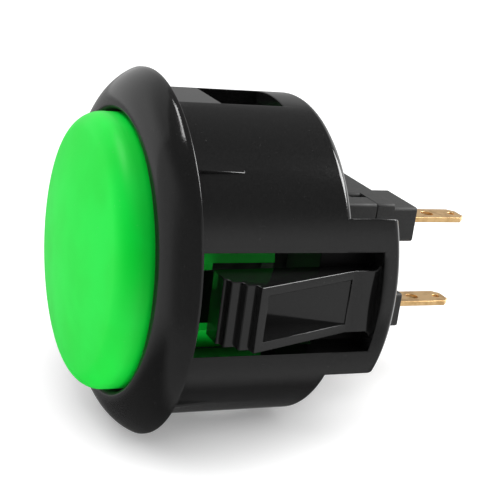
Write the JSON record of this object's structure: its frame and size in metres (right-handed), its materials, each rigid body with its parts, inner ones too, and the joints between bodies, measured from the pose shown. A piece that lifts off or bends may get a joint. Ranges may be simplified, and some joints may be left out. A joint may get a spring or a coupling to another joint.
{
  "type": "arcade push button",
  "caption": "Snap-in arcade push button: domed green plunger in a round black flanged housing with stepped spring clips, and a small switch with flat terminals at its rear.",
  "frame": {"origin": "on the plunger's axis, in the plane where the flange's underside meets the panel's front", "axes": "+Z along the plunger's axis, out of the panel; +X towards one snap clip; +Y towards one hook slot; the terminals point to -Z"},
  "size_m": [0.0352, 0.033, 0.0388],
  "materials": {
    "housing_black": "satin",
    "plunger_green": "satin",
    "switch_black": "matt",
    "actuator_black": "matt",
    "spring_steel": "bright",
    "lever_bronze": "satin",
    "terminal_brass": "satin",
    "contact_silver": "satin"
  },
  "bodies": {
    "case": {"housing": "housing_black", "switch_cover": "switch_black", "switch_base": "switch_black", "common_terminal": "terminal_brass", "contact_terminal": "terminal_brass", "fixed_contact": "contact_silver", "return_spring": "spring_steel"},
    "plunger": {"plunger": "plunger_green"},
    "actuator": {"switch_actuator": "actuator_black"},
    "lever": {"contact_lever": "lever_bronze", "moving_contact": "contact_silver"}
  },
  "joints": [
    {"name": "plunger_press", "type": "slide", "parent": "case", "child": "plunger", "axis": [0, 0, -1], "range_m": [0, 0.003], "stiffness_N_per_m": 200, "springref_m": -0.004},
    {"name": "actuator_slide", "type": "slide", "parent": "case", "child": "actuator", "axis": [0, 0, -1], "range_m": [0, 0.003], "deforming": ["return_spring"]},
    {"name": "lever_tilt", "type": "hinge", "parent": "case", "child": "lever", "pos_m": [0.0026, 0.00175, -0.0201], "axis": [-1, 0, 0], "range_deg": [0, 11.5]}
  ],
  "couplings": [
    {"joint": "actuator_slide", "follows": "plunger_press", "ratio": 1},
    {"joint": "lever_tilt", "follows": "plunger_press", "rad_per_m": 64}
  ]
}
